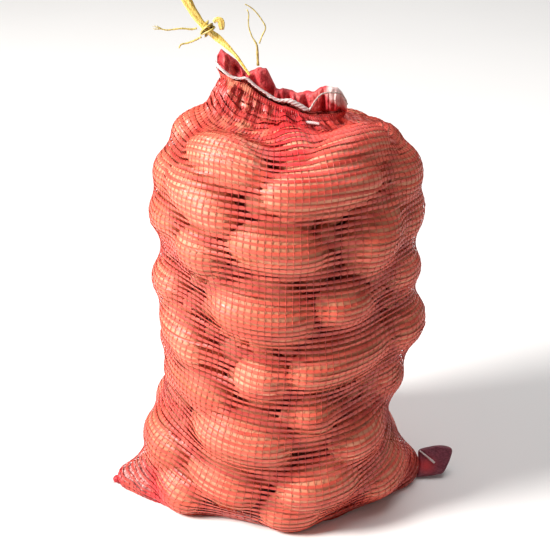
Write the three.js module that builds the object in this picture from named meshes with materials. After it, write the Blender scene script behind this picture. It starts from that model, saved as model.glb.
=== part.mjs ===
// A leno net sack filled with potatoes, standing on its sewn bottom seam, its mouth gathered by a
// white drawstring and tied with split yellow raffia. Millimetres, +Z up, the viewer looks along +Y.
// The origin is on the flat base, under the middle of the sack.
import * as THREE from 'three';

// ---- driving dimensions ----
const NET_CLEARANCE = 1.5;          // half the net's own thickness, outside each potato
const DEPTH_TO_WIDTH = 0.93;        // the filled sack is a little flatter than round
const GIRTH_COLUMNS = 76;           // net solid: columns round the sack
const BOTTOM_ROWS = 8;              // rows from the bottom seam out to the wall
const WALL_ROWS = 30;               // rows up the wall
const TOP_ROWS = 8;                 // rows from the wall in to the mouth
const SETTLE_STEPS = 260;           // steps the net takes to draw tight over the potatoes
const HOOP_PULL = 0.36;             // the net pulls harder round the sack than along it
const LENGTH_PULL = 0.14;
const SINK = 0.5;                   // how far a step lets the slack net sink in between the potatoes
const PRESS = 3;                    // and how far it presses the net under them down
const CORE_SHARE = 0.84;            // the potatoes behind keep the wall this share of the outline out
const BASE_FOOTPRINT = [118, 100];  // half width and half depth pressed flat on the ground
const BASE_PRESS = 8;               // net lower than this inside the footprint lies on the ground

// half width of the packed potatoes at each height
const OUTLINE = [[0, 134], [40, 146], [80, 146], [120, 138], [160, 131], [220, 136], [320, 140], [350, 139],
  [380, 133], [410, 115], [432, 88], [450, 60]];

// how far the middle of the sack leans to the right at each height
const LEAN = [[0, 0], [40, -2], [80, -7], [120, -3], [160, 0], [300, 0], [352, 5], [385, 3], [415, -5], [450, -5]];

// the bottom seam lies along X; its two ends stick out as ears
const EAR_LEFT = new THREE.Vector3(-190, -27, 1);
const EAR_RIGHT = new THREE.Vector3(150, 2, 2);
const SEAM_THICKNESS = 3;
const EAR_SHARE = 0.1;              // the share of the sack's width, at each side, that runs up an ear
const EAR_HEIGHT = 34;              // where the ear's ridge meets the wall
// net bunched up with no potato in it, as [centre, half sizes]: both ears and the mouth's high end
const BUNCHES = [
  [[-134, -32, 14], [34, 33, 24]], [[-163, -29, 11], [19, 16, 15]], [[119, -10, 14], [31, 34, 24]],
  [[-54, 0, 438], [18, 17, 24]],
];

// the gathered mouth, from its high left flap to its low right end: x and height of the string
const MOUTH_LINE = [[-67, 478], [-60, 471], [-50, 465], [-37, 464], [-28, 456], [-18, 449], [-6, 442], [6, 440],
  [18, 434], [28, 431], [44, 432], [62, 431]];
const MOUTH_HALF_DEPTH = 11;
// top edge of the gathered hem above the string: the left flap, the puff beside the tie and the
// crumpled right end
const HEM_CREST = [[-67, 485], [-62, 492], [-55, 489], [-47, 480], [-40, 472], [-35, 469], [-29, 471], [-23, 475],
  [-18, 473], [-12, 461], [-8, 452], [-2, 453], [6, 450], [18, 448], [30, 450], [40, 455], [52, 454], [58, 447],
  [63, 438]];
const HEM_HALF_DEPTH = 6.5;
const HEM_PLEAT = 17;               // from one pleat of the hem to the next
const HEM_STEPS = 52;
const HEM_SIDES = 10;

// white drawstring, seen along the front of the mouth
const STRING_DIAMETER = 3.6;
const STRING_ROUTE = [[-70, -3, 483], [-67, -9, 482], [-61, -14, 477], [-52, -14.5, 470], [-44, -14.5, 468],
  [-37, -14.5, 468], [-28, -14.5, 460], [-18, -14.5, 453], [-7, -14.5, 446], [5, -14.5, 445], [15, -14.5, 440],
  [24, -14.5, 436], [30, -14.5, 445], [37, -14, 452], [48, -13, 453], [56, -11, 450], [62, -8, 439]];
const STRING_STEPS = 56;
// its end shows again below the mouth, lying on the net: x and y
const STRING_END = [[21, -19], [27, -21], [34, -22]];

// split raffia tie: a band from the string up through the knot to a loop, and loose strands
const BAND_WIDTH = 9;
const BAND_THICKNESS = 2.4;
const BAND_ROUTE = [[-34, -16, 472], [-40, -13, 480], [-48, -9, 490], [-60, -4, 501], [-75, 0, 513], [-86, 0, 527],
  [-96, 0, 545], [-104, 0, 562]];
const KNOT_BORE = 4.9;
const KNOT_RADIUS = 7.8;
const KNOT_LENGTH = 13;
const LOOP_RADIUS = 9;
const STRAND_DIAMETER = 1.8;
const STRAND_ROUTES = {
  tie_lobe: [[-68.4, 0, 519.8], [-66, 0, 522.2], [-61.6, 0, 521], [-60.9, 0, 512.5]],
  tie_tail_upper: [[-85, 0, 514], [-90, 0, 512.9], [-100.3, 0, 513.6], [-113.4, 0, 512.1], [-119.5, 0, 513.2]],
  tie_tail_lower: [[-80.9, -0.5, 505.4], [-88.1, 0, 501.5], [-94.4, 0, 499.1], [-100.6, 0, 497.6], [-102.9, 0, 494]],
  tie_strand_left: [[-26, -2, 477], [-26.4, -4, 489], [-27.1, -6, 499], [-31.6, -6, 507.5], [-34.4, -6, 516],
    [-35, -6, 523], [-34.6, -6, 530], [-36.2, -6, 534.5]],
  tie_strand_right: [[-24.6, -6, 500.5], [-21.9, -6, 508], [-18.6, -6, 515.2], [-20, -6, 520.5], [-26.7, -6, 530.5],
    [-32.4, -6, 536.2], [-38, -6, 539.5]],
};

// maroon folded corner at the end of the right ear: its outline as it leans back, and its place
const FOLD_OUTLINE = [[-3, -1], [12, 0.5], [20, 2], [27, 4], [32, 12], [36, 21], [38, 29], [35, 33], [25, 35],
  [13, 33.5], [1, 30], [-0.5, 22], [0.5, 13], [-1.5, 5]];
const FOLD_PLACE = new THREE.Vector3(151.7, -20, 4);
const FOLD_LEAN = 42;               // degrees back from upright
const FOLD_THICKNESS = 4;
const STITCH_DIAMETER = 2.4;
const STITCH_ENDS = [[1, 28.5], [17.5, 14.5]];

// The potatoes against the net that the front shows, each as
// [angle round the sack, height of its centre, length, thickness, tilt in the wall, how far it stands out]:
// angle 0 faces the viewer and grows to the right, tilt lifts the right-hand end.
const FRONT_POTATOES = [
  [-34, 405, 90, 50, -8, 0], [-49, 364, 98, 50, -18, 0], [-86, 366, 76, 50, 0, 0],
  [-82, 326, 92, 50, 10, 0], [18, 385, 122, 56, 4, 0], [41, 405, 108, 54, 8, 0], [80, 369, 84, 66, -12, 0],
  [47, 327, 84, 58, 62, 0], [84, 328, 80, 56, 20, 0], [78, 268, 76, 48, -15, 4], [81, 205, 86, 58, 0, 14],
  [-12, 254, 106, 68, -8, 0], [-5, 328, 96, 52, -9, 0], [30, 262, 60, 46, 0, 0], [31, 198, 118, 56, 12, 0],
  [15, 137, 52, 46, -35, 0], [-12, 180, 58, 50, 10, 0], [-52, 154, 98, 50, -16, 0],
  [-64, 206, 90, 42, -25, 0], [-84, 250, 80, 48, 8, 0], [-44, 313, 60, 44, -20, 0],
  [-20, 107, 108, 66, -9, 0], [-72, 65, 82, 60, -14, 5], [-31, 50, 86, 52, -20, -5], [19, 52, 90, 56, 6, 0],
  [-56, 26, 66, 50, -20, 14], [4, 22, 66, 44, 0, -3], [42, 98, 68, 48, 15, 0], [62, 36, 76, 50, 10, 0],
  [69, 150, 80, 56, -40, 0], [-76, 146, 60, 42, 0, -5], [-84, 180, 70, 42, 15, -2],
];
// potatoes on top, under the gathered net, as [x, y, z, length, thickness, turn about Z]
const TOP_POTATOES = [
  [-72, 4, 409, 84, 48, 25], [8, -56, 408, 74, 48, -60], [48, 8, 396, 96, 52, 10], [-6, 46, 396, 88, 50, -15],
  [92, -4, 388, 80, 52, 70],
];
// rows of potatoes round the back, where the photograph doesn't reach
const BACK_HEIGHTS = [30, 86, 142, 199, 256, 313, 367];
const BACK_ANGLES = [118, 149, 180, 211, 240];
const BACK_LENGTH = 88;
const BACK_THICKNESS = 54;
const BACK_INSET = 9;               // the back is a little flatter than the outline

const NET_COLOUR = 0xd8604e;
const HEM_COLOUR = 0xc2303c;
const STRING_COLOUR = 0xf2ece8;
const RAFFIA_COLOUR = 0xf0cf52;
const FOLD_COLOUR = 0x7c2a3a;

const RAD = Math.PI / 180;
const UP = new THREE.Vector3(0, 0, 1);

// ---- materials ----
function finish(colour, roughness) {
  return new THREE.MeshStandardMaterial({ color: colour, roughness, metalness: 0 });
}

const netFinish = finish(NET_COLOUR, 0.5);
const hemFinish = finish(HEM_COLOUR, 0.5);
const stringFinish = finish(STRING_COLOUR, 0.75);
const raffiaFinish = finish(RAFFIA_COLOUR, 0.45);
const foldFinish = finish(FOLD_COLOUR, 0.6);

// ---- small helpers ----
// straight-line interpolation in a table of [key, value] rows
function lookUp(table, key) {
  const next = table.findIndex((row) => row[0] >= key);
  if (next === 0) {
    return table[0][1];
  }
  if (next === -1) {
    return table[table.length - 1][1];
  }
  const [k0, v0] = table[next - 1];
  const [k1, v1] = table[next];
  return v0 + ((v1 - v0) * (key - k0)) / (k1 - k0);
}

// repeatable number from 0 to 1 for a whole number n
function chance(n) {
  const s = Math.sin(n * 12.9898 + 4.1414) * 43758.5453;
  return s - Math.floor(s);
}

// a point on the packed outline: angle round the sack in degrees, height, and how far inside
function onOutline(angle, height, inset) {
  const half = lookUp(OUTLINE, height);
  return new THREE.Vector3(
    lookUp(LEAN, height) + (half - inset) * Math.sin(angle * RAD),
    -(half * DEPTH_TO_WIDTH - inset) * Math.cos(angle * RAD),
    height,
  );
}

// ---- potatoes: plain ellipsoids with their own axes ----
// a potato lying against the wall, its length along the wall
function wallPotato([angle, height, length, thickness, tilt, standOut]) {
  const depth = thickness * 0.92;
  const outward = new THREE.Vector3(Math.sin(angle * RAD), -Math.cos(angle * RAD), 0);
  const along = new THREE.Vector3().crossVectors(UP, outward);
  const axis = along.multiplyScalar(Math.cos(tilt * RAD)).addScaledVector(UP, Math.sin(tilt * RAD));
  return {
    centre: onOutline(angle, height, depth / 2 - standOut),
    axes: [axis, outward, new THREE.Vector3().crossVectors(axis, outward)],
    half: [length / 2, depth / 2, thickness / 2],
  };
}

// a potato lying flat on the others at the top
function topPotato([x, y, z, length, thickness, turn]) {
  const axis = new THREE.Vector3(Math.cos(turn * RAD), Math.sin(turn * RAD), 0);
  return {
    centre: new THREE.Vector3(x, y, z),
    axes: [axis, new THREE.Vector3().crossVectors(UP, axis), UP],
    half: [length / 2, thickness / 2, thickness / 2],
  };
}

// rows round the back: every other row is turned half a potato, and sizes and tilts vary
function backPotatoes() {
  const rows = [];
  BACK_HEIGHTS.forEach((height, row) => {
    BACK_ANGLES.forEach((angle, k) => {
      const n = row * BACK_ANGLES.length + k;
      const shift = row % 2 === 0 ? 0 : 14;
      rows.push([
        angle + shift + 12 * (chance(n) - 0.5),
        height + 22 * (chance(n + 100) - 0.5),
        BACK_LENGTH * (0.85 + 0.35 * chance(n + 200)),
        BACK_THICKNESS * (0.85 + 0.3 * chance(n + 300)),
        50 * (chance(n + 400) - 0.5),
        -BACK_INSET,
      ]);
    });
  });
  return rows.map(wallPotato);
}

function bunch([centre, half]) {
  return {
    centre: new THREE.Vector3(...centre),
    axes: [new THREE.Vector3(1, 0, 0), new THREE.Vector3(0, 1, 0), UP],
    half,
  };
}

const contents = [
  ...FRONT_POTATOES.map(wallPotato),
  ...TOP_POTATOES.map(topPotato),
  ...backPotatoes(),
  ...BUNCHES.map(bunch),
];

// moves a net point that is inside a potato out to its skin along the given way
function pushOut(point, solid, way) {
  const offset = point.clone().sub(solid.centre);
  if (Math.abs(offset.z) > Math.max(...solid.half) + NET_CLEARANCE) {
    return;
  }
  const scaled = (vector) => solid.axes.map((axis, k) => vector.dot(axis) / (solid.half[k] + NET_CLEARANCE));
  const start = scaled(offset);
  if (Math.hypot(...start) >= 1) {
    return;
  }
  const step = scaled(way);
  const a = step.reduce((sum, value) => sum + value * value, 0);
  const b = step.reduce((sum, value, k) => sum + value * start[k], 0);
  const c = start.reduce((sum, value) => sum + value * value, -1);
  point.addScaledVector(way, (-b + Math.sqrt(b * b - a * c)) / a);
}

// ---- the filled net ----
// Column 0 runs down the left side, then the columns go round the front to the right side
// at half way, and back round behind. Row 0 is the bottom seam and the last row the mouth.
const NET_ROWS = BOTTOM_ROWS + WALL_ROWS + TOP_ROWS;

// share across the sack, 0 at its left side and 1 at its right, front and back alike
function across(column) {
  const share = (2 * column) / GIRTH_COLUMNS;
  return share <= 1 ? share : 2 - share;
}

// -1 on the front and 1 on the back
function face(column) {
  return 2 * column < GIRTH_COLUMNS ? -1 : 1;
}

// 1 at the sack's two sides, falling to 0 where the ears end
function earShare(column) {
  return 1 - THREE.MathUtils.smoothstep(Math.min(across(column), 1 - across(column)), 0, EAR_SHARE);
}

function seamPoint(column) {
  const share = across(column);
  const point = new THREE.Vector3().lerpVectors(EAR_LEFT, EAR_RIGHT, share);
  point.y += (face(column) * SEAM_THICKNESS * Math.sqrt(Math.sin(Math.PI * share))) / 2;
  return point;
}

function mouthPoint(column) {
  const share = across(column);
  const first = MOUTH_LINE[0][0];
  const last = MOUTH_LINE[MOUTH_LINE.length - 1][0];
  const x = first + (last - first) * share;
  const depth = MOUTH_HALF_DEPTH * Math.sqrt(Math.sin(Math.PI * share));
  return new THREE.Vector3(x, face(column) * depth, lookUp(MOUTH_LINE, x) - 3);
}

function slackPoint(row, column) {
  const angle = -90 + (360 * column) / GIRTH_COLUMNS;
  const foot = 12 + (EAR_HEIGHT - 12) * earShare(column);
  if (row <= BOTTOM_ROWS) {
    return seamPoint(column).lerp(onOutline(angle, foot, -6), row / BOTTOM_ROWS);
  }
  if (row >= BOTTOM_ROWS + WALL_ROWS) {
    return onOutline(angle, 408, -6).lerp(mouthPoint(column), (row - BOTTOM_ROWS - WALL_ROWS) / TOP_ROWS);
  }
  return onOutline(angle, foot + ((408 - foot) * (row - BOTTOM_ROWS)) / WALL_ROWS, -6);
}

// which way is out of the sack: down under it, outwards round the wall, and up on top and on the ears
function wayOut(row, column, knot) {
  const ear = earShare(column);
  const low = (THREE.MathUtils.smoothstep(row, BOTTOM_ROWS - 1, BOTTOM_ROWS + 2) - 1) * (1 - 1.5 * ear);
  const high = THREE.MathUtils.smoothstep(row, BOTTOM_ROWS + WALL_ROWS - 5, BOTTOM_ROWS + WALL_ROWS + 2);
  const lift = (low + high) * 90 * RAD;
  const outward = new THREE.Vector3(knot.x, knot.y, 0).normalize().multiplyScalar(Math.cos(lift));
  return outward.addScaledVector(UP, Math.sin(lift));
}

// the potatoes deeper inside, which no list names, keep the wall out, and the ground keeps it up
function keepOutOfCore(row, knot) {
  if (row > BOTTOM_ROWS && row < BOTTOM_ROWS + WALL_ROWS) {
    const half = lookUp(OUTLINE, knot.z) * CORE_SHARE;
    const middle = lookUp(LEAN, knot.z);
    const reach = Math.hypot((knot.x - middle) / half, knot.y / (half * DEPTH_TO_WIDTH));
    if (reach < 1) {
      knot.x = middle + (knot.x - middle) / reach;
      knot.y /= reach;
    }
  }
  knot.z = Math.max(knot.z, 0);
}

// The net settles: each knot is drawn towards the middle of its neighbours and sinks a little, then
// it is pushed out of the potatoes and off the ground. The seam and the mouth hold still.
function settleNet() {
  let net = Array.from({ length: NET_ROWS + 1 }, (_, row) =>
    Array.from({ length: GIRTH_COLUMNS }, (_unused, column) => slackPoint(row, column)));
  for (let step = 0; step < SETTLE_STEPS; step += 1) {
    net = net.map((knots, row) => {
      if (row === 0 || row === NET_ROWS) {
        return knots;
      }
      return knots.map((knot, column) => {
        const moved = knot.clone().multiplyScalar(1 - 2 * HOOP_PULL - 2 * LENGTH_PULL);
        moved.addScaledVector(knots[(column + 1) % GIRTH_COLUMNS], HOOP_PULL);
        moved.addScaledVector(knots[(column + GIRTH_COLUMNS - 1) % GIRTH_COLUMNS], HOOP_PULL);
        moved.addScaledVector(net[row - 1][column], LENGTH_PULL);
        moved.addScaledVector(net[row + 1][column], LENGTH_PULL);
        const way = wayOut(row, column, moved);
        moved.addScaledVector(way, -SINK);
        moved.z += PRESS * Math.min(way.z, 0);
        contents.forEach((solid) => pushOut(moved, solid, way));
        keepOutOfCore(row, moved);
        return moved;
      });
    });
  }
  return net;
}

// the net lying on the ground inside the footprint is one flat face
function pressBase(net) {
  net.flat().forEach((knot) => {
    const reach = Math.hypot(knot.x / BASE_FOOTPRINT[0], knot.y / BASE_FOOTPRINT[1]);
    if (reach < 1 && knot.z < BASE_PRESS) {
      knot.z = 0;
    }
  });
}

// closed surface from the net's knots: the wall, a strip under the seam and one across the mouth
function netGeometry(net) {
  const faces = [];
  const index = (row, column) => row * GIRTH_COLUMNS + ((column + GIRTH_COLUMNS) % GIRTH_COLUMNS);
  const addPatch = (a, b, c, d) => {
    const loop = [a, b, c, d].filter((corner, k, all) => corner !== all[(k + 1) % 4]);
    for (let k = 2; k < loop.length; k += 1) {
      faces.push(loop[0], loop[k - 1], loop[k]);
    }
  };
  for (let row = 0; row < NET_ROWS; row += 1) {
    for (let column = 0; column < GIRTH_COLUMNS; column += 1) {
      addPatch(index(row, column), index(row, column + 1), index(row + 1, column + 1), index(row + 1, column));
    }
  }
  for (let column = 0; column < GIRTH_COLUMNS / 2; column += 1) {
    addPatch(index(0, column + 1), index(0, column), index(0, -column), index(0, -column - 1));
    addPatch(index(NET_ROWS, column), index(NET_ROWS, column + 1),
      index(NET_ROWS, -column - 1), index(NET_ROWS, -column));
  }
  const geometry = new THREE.BufferGeometry();
  geometry.setAttribute('position', new THREE.Float32BufferAttribute(net.flat().flatMap((knot) => knot.toArray()), 3));
  geometry.setIndex(faces);
  return geometry;
}

// ---- hem, cords and folds ----
// gathered hem: a ring of HEM_SIDES points carried along the mouth, its height from the string up
// to the crest, waving forwards and back from pleat to pleat
function hemGeometry() {
  const positions = [];
  const faces = [];
  const first = HEM_CREST[0][0] + 1;
  const last = HEM_CREST[HEM_CREST.length - 1][0] - 1;
  for (let step = 0; step <= HEM_STEPS; step += 1) {
    const x = first + ((last - first) * step) / HEM_STEPS;
    const low = lookUp(MOUTH_LINE, x) - 2;
    const high = lookUp(HEM_CREST, x);
    const wave = (2 * Math.PI * x) / HEM_PLEAT;
    const depth = HEM_HALF_DEPTH + 1.2 * Math.cos(2 * wave);
    for (let side = 0; side < HEM_SIDES; side += 1) {
      const turn = (2 * Math.PI * side) / HEM_SIDES;
      positions.push(x, 2 * Math.sin(wave) - depth * Math.cos(turn), (low + high + (high - low) * Math.sin(turn)) / 2);
    }
  }
  const index = (step, side) => step * HEM_SIDES + (side % HEM_SIDES);
  for (let step = 0; step < HEM_STEPS; step += 1) {
    for (let side = 0; side < HEM_SIDES; side += 1) {
      const corners = [index(step, side), index(step + 1, side), index(step + 1, side + 1), index(step, side + 1)];
      faces.push(corners[0], corners[1], corners[2], corners[0], corners[2], corners[3]);
    }
  }
  for (let side = 1; side < HEM_SIDES - 1; side += 1) {
    faces.push(index(0, 0), index(0, side), index(0, side + 1));
    faces.push(index(HEM_STEPS, 0), index(HEM_STEPS, side + 1), index(HEM_STEPS, side));
  }
  const geometry = new THREE.BufferGeometry();
  geometry.setAttribute('position', new THREE.Float32BufferAttribute(positions, 3));
  geometry.setIndex(faces);
  return geometry;
}

function curveThrough(route) {
  return new THREE.CatmullRomCurve3(route.map((point) => new THREE.Vector3(...point)));
}

// eight-sided cord, flat where thickness is less than width
function cordGeometry(route, width, thickness, steps) {
  const section = new THREE.Shape();
  for (let side = 0; side < 8; side += 1) {
    const turn = (2 * Math.PI * (side + 0.5)) / 8;
    section[side === 0 ? 'moveTo' : 'lineTo']((thickness / 2) * Math.cos(turn), (width / 2) * Math.sin(turn));
  }
  section.closePath();
  return new THREE.ExtrudeGeometry(section, { steps, extrudePath: curveThrough(route), bevelEnabled: false });
}

// how high the net reaches near a point of the top
function netTop(net, x, y) {
  const near = net.flat().filter((knot) => Math.hypot(knot.x - x, knot.y - y) < 7);
  return Math.max(...near.map((knot) => knot.z));
}

// the knot is a thick ring round the band
function knotGeometry() {
  const middle = (KNOT_BORE + KNOT_RADIUS) / 2;
  const profile = [];
  for (let k = 0; k <= 8; k += 1) {
    const turn = (2 * Math.PI * k) / 8;
    profile.push(new THREE.Vector2(
      middle + ((KNOT_RADIUS - KNOT_BORE) / 2) * Math.cos(turn),
      (KNOT_LENGTH / 2) * Math.sin(turn),
    ));
  }
  const along = new THREE.Vector3(...BAND_ROUTE[5]).sub(new THREE.Vector3(...BAND_ROUTE[3])).normalize();
  const turned = new THREE.Quaternion().setFromUnitVectors(new THREE.Vector3(0, 1, 0), along);
  return new THREE.LatheGeometry(profile, 14).applyQuaternion(turned).translate(...BAND_ROUTE[4]);
}

// a small loop at the band's upper end
function loopGeometry() {
  const [x, y, z] = BAND_ROUTE[BAND_ROUTE.length - 1];
  const reach = LOOP_RADIUS + STRAND_DIAMETER / 2 + 0.6;
  return new THREE.TorusGeometry(LOOP_RADIUS, STRAND_DIAMETER / 2, 8, 20)
    .rotateX(Math.PI / 2)
    .translate(x - 0.43 * reach, y, z + 0.9 * reach);
}

const foldTurn = new THREE.Matrix4()
  .makeTranslation(FOLD_PLACE)
  .multiply(new THREE.Matrix4().makeRotationX((90 - FOLD_LEAN) * RAD));

function foldGeometry() {
  const outline = new THREE.Shape(FOLD_OUTLINE.map(([u, v]) => new THREE.Vector2(u, v)));
  return new THREE.ExtrudeGeometry(outline, { depth: FOLD_THICKNESS, bevelEnabled: false })
    .translate(0, 0, -FOLD_THICKNESS)
    .applyMatrix4(foldTurn);
}

function stitchGeometry() {
  const lift = STITCH_DIAMETER / 2 + 0.4;
  const route = STITCH_ENDS.map(([u, v]) => new THREE.Vector3(u, v, lift).applyMatrix4(foldTurn).toArray());
  return cordGeometry(route, STITCH_DIAMETER, STITCH_DIAMETER, 3);
}

const sack = new THREE.Group();

function add(name, geometry, material) {
  geometry.computeVertexNormals();
  const mesh = new THREE.Mesh(geometry, material);
  mesh.name = name;
  sack.add(mesh);
}

const net = settleNet();
pressBase(net);
add('net_bag', netGeometry(net), netFinish);
add('mouth_hem', hemGeometry(), hemFinish);
add('drawstring', cordGeometry(STRING_ROUTE, STRING_DIAMETER, STRING_DIAMETER, STRING_STEPS), stringFinish);

const endRoute = STRING_END.map(([x, y]) => [x, y, netTop(net, x, y) + STRING_DIAMETER / 2 + 0.4]);
add('drawstring_end', cordGeometry(endRoute, STRING_DIAMETER, STRING_DIAMETER, 4), stringFinish);

add('tie_band', cordGeometry(BAND_ROUTE, BAND_WIDTH, BAND_THICKNESS, 16), raffiaFinish);
add('tie_knot', knotGeometry(), raffiaFinish);
add('tie_loop', loopGeometry(), raffiaFinish);
Object.entries(STRAND_ROUTES).forEach(([name, route]) => {
  const steps = Math.ceil(curveThrough(route).getLength() / (2.2 * STRAND_DIAMETER));
  add(name, cordGeometry(route, STRAND_DIAMETER, STRAND_DIAMETER, steps), raffiaFinish);
});
add('corner_fold', foldGeometry(), foldFinish);
add('corner_stitch', stitchGeometry(), stringFinish);

export default sack;
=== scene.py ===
"""A leno net sack filled with potatoes, standing on its sewn bottom: the looks.

The net is drawn tight over the potatoes by the same rule as its solid, only finer, and then woven
from flat weft tapes and twisted warp threads. Lists of sizes and places are in millimetres.
"""
import math

import bpy
import numpy as np
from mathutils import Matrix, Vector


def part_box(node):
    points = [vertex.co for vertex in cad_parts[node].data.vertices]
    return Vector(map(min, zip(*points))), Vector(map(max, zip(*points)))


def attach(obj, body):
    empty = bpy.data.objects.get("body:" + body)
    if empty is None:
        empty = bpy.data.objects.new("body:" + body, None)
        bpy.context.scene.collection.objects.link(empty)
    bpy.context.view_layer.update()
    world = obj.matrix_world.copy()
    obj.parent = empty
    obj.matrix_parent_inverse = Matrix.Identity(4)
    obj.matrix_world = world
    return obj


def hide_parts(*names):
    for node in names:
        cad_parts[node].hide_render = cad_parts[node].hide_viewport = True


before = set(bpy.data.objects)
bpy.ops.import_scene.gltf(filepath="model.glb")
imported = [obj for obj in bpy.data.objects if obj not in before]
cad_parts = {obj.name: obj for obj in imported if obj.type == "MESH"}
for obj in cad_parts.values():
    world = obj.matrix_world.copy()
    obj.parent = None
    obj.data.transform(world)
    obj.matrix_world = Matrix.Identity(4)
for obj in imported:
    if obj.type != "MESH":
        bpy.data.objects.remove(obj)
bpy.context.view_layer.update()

MM = 0.001
RAD = math.pi / 180
rng = np.random.default_rng(7)

# ---- sizes and places, in millimetres ----
NET_CLEARANCE = 1.5
SKIN_TO_NET = 0.8
DEPTH_TO_WIDTH = 0.93
GIRTH_COLUMNS = 76
BOTTOM_ROWS, WALL_ROWS, TOP_ROWS = 8, 30, 8
NET_ROWS = BOTTOM_ROWS + WALL_ROWS + TOP_ROWS
SETTLE_STEPS = 260
FINE = 3                        # finer net: this many steps for each of the solid's
FINE_STEPS = 160
FINE_SINK = 0.32
EVENING = 20                    # columns over which the tapes' spacing is evened out
NET_HEIGHT = 640                # the longest way from the bottom seam up to the mouth, along the net
GATHER_DEPTH, CRUMPLE_DEPTH, GATHER_REACH = 0.8, 1.0, 62
FOOT_HEIGHT, WALL_TOP = 12, 408  # where the slack net's wall starts and ends
SLACK = 6                       # how far outside the wall the slack net starts
MOUTH_LOWERED = 3               # how far below the mouth's line the net ends, inside the hem
POTATO_FLATNESS = 0.92
# the least height of each above the floor
LUMPS_LOWEST, NET_LOWEST, THREADS_LOWEST, FOLD_LOWEST = 0.8, 0.6, 0.1, 0.2
HOOP_PULL, LENGTH_PULL = 0.36, 0.14
SINK, PRESS = 0.5, 3.0
CORE_SHARE = 0.84
OUTLINE = np.array([[0, 134], [40, 146], [80, 146], [120, 138], [160, 131], [220, 136], [320, 140],
                    [350, 139], [380, 133], [410, 115], [432, 88], [450, 60]], float)
LEAN = np.array([[0, 0], [40, -2], [80, -7], [120, -3], [160, 0], [300, 0], [352, 5], [385, 3], [415, -5],
                 [450, -5]], float)
EAR_LEFT, EAR_RIGHT = np.array([-190.0, -27, 1]), np.array([150.0, 2, 2])
SEAM_THICKNESS = 3
EAR_SHARE, EAR_HEIGHT = 0.1, 34
BUNCHES = [
    [[-134, -32, 14], [34, 33, 24]], [[-163, -29, 11], [19, 16, 15]], [[119, -10, 14], [31, 34, 24]],
    [[-54, 0, 438], [18, 17, 24]],
]
EAR_TIP = [[-184.5, -27, 5.5], [5.5, 5, 4.5]]
MOUTH_LINE = np.array([[-67, 478], [-60, 471], [-50, 465], [-37, 464], [-28, 456], [-18, 449], [-6, 442],
                       [6, 440], [18, 434], [28, 431], [44, 432], [62, 431]], float)
MOUTH_HALF_DEPTH = 11
HEM_CREST = np.array([[-67, 485], [-62, 492], [-55, 489], [-47, 480], [-40, 472], [-35, 469], [-29, 471],
                      [-23, 475], [-18, 473], [-12, 461], [-8, 452], [-2, 453], [6, 450], [18, 448],
                      [30, 450], [40, 455], [52, 454], [58, 447], [63, 438]], float)
HEM_HALF_DEPTH, HEM_PLEAT = 6.5, 17
FLAP_HOLLOW = [-48, 472]
STRING_DIAMETER = 3.6
STRING_ROUTE = [[-70, -3, 483], [-67, -9, 482], [-61, -14, 477], [-52, -14.5, 470], [-44, -14.5, 468],
                [-37, -14.5, 468], [-28, -14.5, 460], [-18, -14.5, 453], [-7, -14.5, 446], [5, -14.5, 445],
                [15, -14.5, 440], [24, -14.5, 436], [30, -14.5, 445], [37, -14, 452], [48, -13, 453],
                [56, -11, 450], [62, -8, 439]]
LOOP_RADIUS = 9
BAND_ROUTE = [[-34, -16, 472], [-40, -13, 480], [-48, -9, 490], [-60, -4, 501], [-75, 0, 513], [-86, 0, 527],
              [-96, 0, 545], [-104, 0, 562]]
STRAND_ROUTES = {
    "tie_lobe": [[-68.4, 0, 519.8], [-66, 0, 522.2], [-61.6, 0, 521], [-60.9, 0, 512.5]],
    "tie_tail_upper": [[-85, 0, 514], [-90, 0, 512.9], [-100.3, 0, 513.6], [-113.4, 0, 512.1],
                       [-119.5, 0, 513.2]],
    "tie_tail_lower": [[-80.9, -0.5, 505.4], [-88.1, 0, 501.5], [-94.4, 0, 499.1], [-100.6, 0, 497.6],
                       [-102.9, 0, 494]],
    "tie_strand_left": [[-26, -2, 477], [-26.4, -4, 489], [-27.1, -6, 499], [-31.6, -6, 507.5],
                        [-34.4, -6, 516], [-35, -6, 523], [-34.6, -6, 530], [-36.2, -6, 534.5]],
    "tie_strand_right": [[-24.6, -6, 500.5], [-21.9, -6, 508], [-18.6, -6, 515.2], [-20, -6, 520.5],
                         [-26.7, -6, 530.5], [-32.4, -6, 536.2], [-38, -6, 539.5]],
}
FOLD_OUTLINE = [[-3, -1], [12, 0.5], [20, 2], [27, 4], [32, 12], [36, 21], [38, 29], [35, 33], [25, 35],
                [13, 33.5], [1, 30], [-0.5, 22], [0.5, 13], [-1.5, 5]]
FOLD_PLACE = [151.7, -20, 4]
FOLD_LEAN = 42
STITCH_ENDS = [[1, 28.5], [17.5, 14.5]]

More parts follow.
